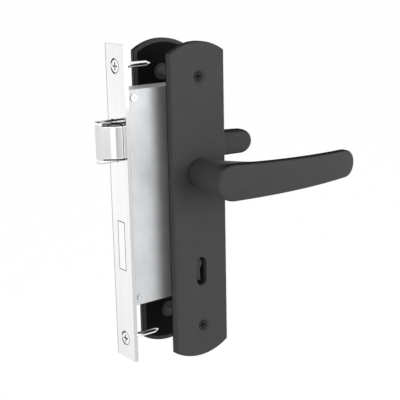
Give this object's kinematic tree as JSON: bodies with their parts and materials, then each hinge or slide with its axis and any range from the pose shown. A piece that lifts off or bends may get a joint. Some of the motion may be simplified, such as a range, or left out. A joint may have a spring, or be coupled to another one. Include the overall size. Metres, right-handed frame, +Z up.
{
  "type": "door lock",
  "caption": "Mortise lock for an interior door with a sprung latch, a deadbolt flush with its forend, and a lever on a long round-ended back plate on each side of the door",
  "frame": {"origin": "on the spindle axis, in the plane of the near door face, where the near back plate seats", "axes": "+X runs along the door face away from the forend, +Y runs into the door away from the near side, +Z is up"},
  "size_m": [0.1885, 0.145, 0.2405],
  "materials": {
    "zinc_sheet": "bright zinc-plated sheet steel, fine rolled grain",
    "zinc_screw": "zinc-plated steel",
    "forend_steel": "polished stainless steel, nearly a mirror",
    "screw_steel": "polished steel",
    "latch_chrome": "polished chrome plate",
    "inner_steel": "zinc-plated steel, dull",
    "spring_steel": "drawn spring steel",
    "follower_zinc": "cast zinc alloy",
    "bolt_steel": "ground and polished steel",
    "spindle_steel": "drawn square bar, zinc-plated",
    "plate_coat": "matt anthracite powder coat",
    "lever_coat": "matt anthracite powder coat",
    "black_nylon": "black glass-filled nylon",
    "bush_nylon": "dark self-lubricating nylon",
    "dark_screw": "dark coated steel"
  },
  "bodies": {
    "lock": {"case_tray": "zinc_sheet", "case_cover": "zinc_sheet", "cover_screws": "zinc_screw", "forend": "forend_steel", "forend_screws": "screw_steel", "latch_spring": "spring_steel", "stem_guide": "inner_steel", "follower_spring": "spring_steel", "spring_seat": "inner_steel", "stop_post": "inner_steel", "bolt_guide_post": "inner_steel", "detent_leaf": "spring_steel", "detent_anchor": "inner_steel", "near_plate": "plate_coat", "far_plate": "plate_coat", "near_support": "black_nylon", "far_support": "black_nylon", "near_bush": "bush_nylon", "far_bush": "bush_nylon", "plate_screws": "dark_screw", "plate_sleeves": "inner_steel"},
    "lever": {"near_lever": "lever_coat", "far_lever": "lever_coat", "spindle": "spindle_steel", "follower": "follower_zinc", "near_circlip": "spring_steel", "far_circlip": "spring_steel", "grub_screws": "dark_screw"},
    "latch": {"latch_head": "latch_chrome", "latch_stem": "inner_steel", "latch_pin": "inner_steel"},
    "deadbolt": {"deadbolt_head": "bolt_steel", "deadbolt_tail": "inner_steel", "bolt_rivets": "inner_steel"}
  },
  "joints": [
    {"name": "lever_turn", "type": "hinge", "parent": "lock", "child": "lever", "pos_m": [0, 0.018, 0], "axis": [0, 1, 0], "range_deg": [0, 40], "stiffness_Nm_per_rad": 0.8, "springref_deg": -34.38, "deforming": ["follower_spring"]},
    {"name": "latch_slide", "type": "slide", "parent": "lock", "child": "latch", "axis": [1, 0, 0], "range_m": [0, 0.0142], "deforming": ["latch_spring"]},
    {"name": "deadbolt_throw", "type": "slide", "parent": "lock", "child": "deadbolt", "axis": [-1, 0, 0], "range_m": [0, 0.014], "deforming": ["detent_leaf"]}
  ],
  "couplings": [
    {"joint": "latch_slide", "follows": "lever_turn", "m_per_rad": 0.020086}
  ]
}
